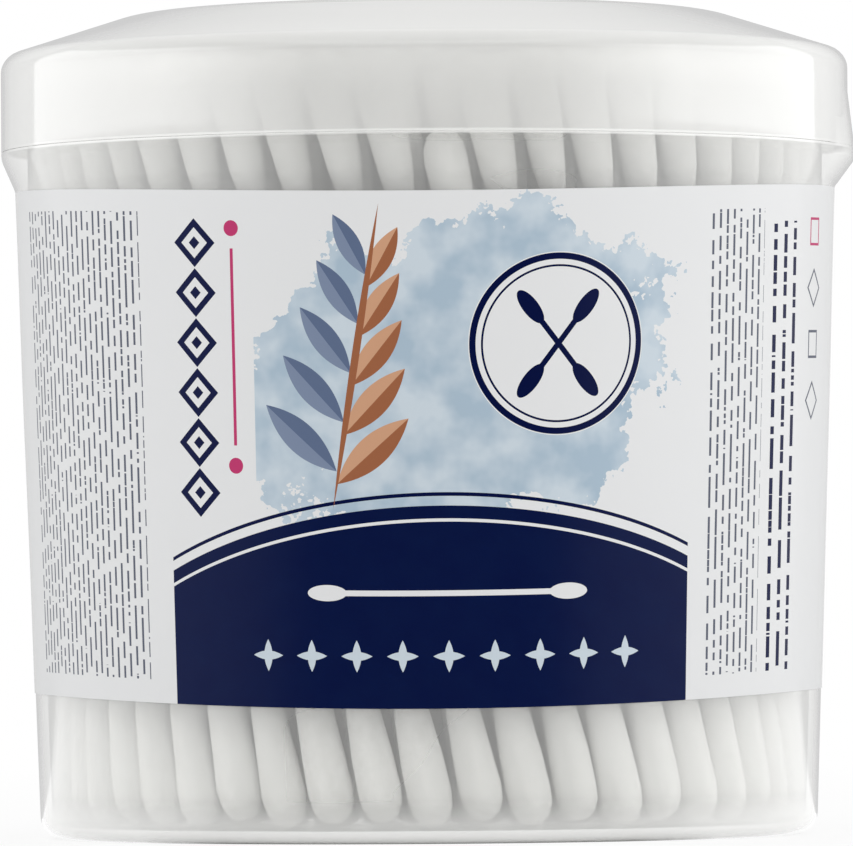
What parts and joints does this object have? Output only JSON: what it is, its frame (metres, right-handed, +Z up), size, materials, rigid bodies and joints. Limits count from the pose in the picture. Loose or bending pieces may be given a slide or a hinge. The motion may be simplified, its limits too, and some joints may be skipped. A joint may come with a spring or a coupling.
{
  "type": "cotton swab tub",
  "caption": "Round see-through plastic tub with a lift-off lid and a printed wraparound label, packed with upright double-ended cotton swabs.",
  "frame": {"origin": "middle of the tub's flat base, on its axis", "axes": "+Z up along the tub's axis, -Y towards the front of the label, +X towards the lid's thumb tab"},
  "size_m": [0.0832, 0.0824, 0.08],
  "materials": {
    "tub_plastic": "see-through natural polypropylene",
    "lid_plastic": "milky see-through natural polypropylene",
    "label_film": "satin printed film",
    "paper_stick": "matt rolled paper",
    "cotton": "bleached wound cotton"
  },
  "bodies": {
    "tub": {"tub": "tub_plastic", "label": "label_film", "sticks_ring_1": "paper_stick", "sticks_ring_2": "paper_stick", "sticks_ring_3": "paper_stick", "sticks_ring_4": "paper_stick", "sticks_ring_5": "paper_stick", "sticks_ring_6": "paper_stick", "sticks_ring_7": "paper_stick", "sticks_ring_8": "paper_stick", "upper_heads_ring_1": "cotton", "upper_heads_ring_2": "cotton", "upper_heads_ring_3": "cotton", "upper_heads_ring_4": "cotton", "upper_heads_ring_5": "cotton", "upper_heads_ring_6": "cotton", "upper_heads_ring_7": "cotton", "upper_heads_ring_8": "cotton", "lower_heads_ring_1": "cotton", "lower_heads_ring_2": "cotton", "lower_heads_ring_3": "cotton", "lower_heads_ring_4": "cotton", "lower_heads_ring_5": "cotton", "lower_heads_ring_6": "cotton", "lower_heads_ring_7": "cotton", "lower_heads_ring_8": "cotton"},
    "lid": {"lid": "lid_plastic"}
  },
  "joints": [
    {"name": "lid_lift", "type": "slide", "parent": "tub", "child": "lid", "axis": [0, 0, 1], "range_m": [0, 0.03]}
  ]
}
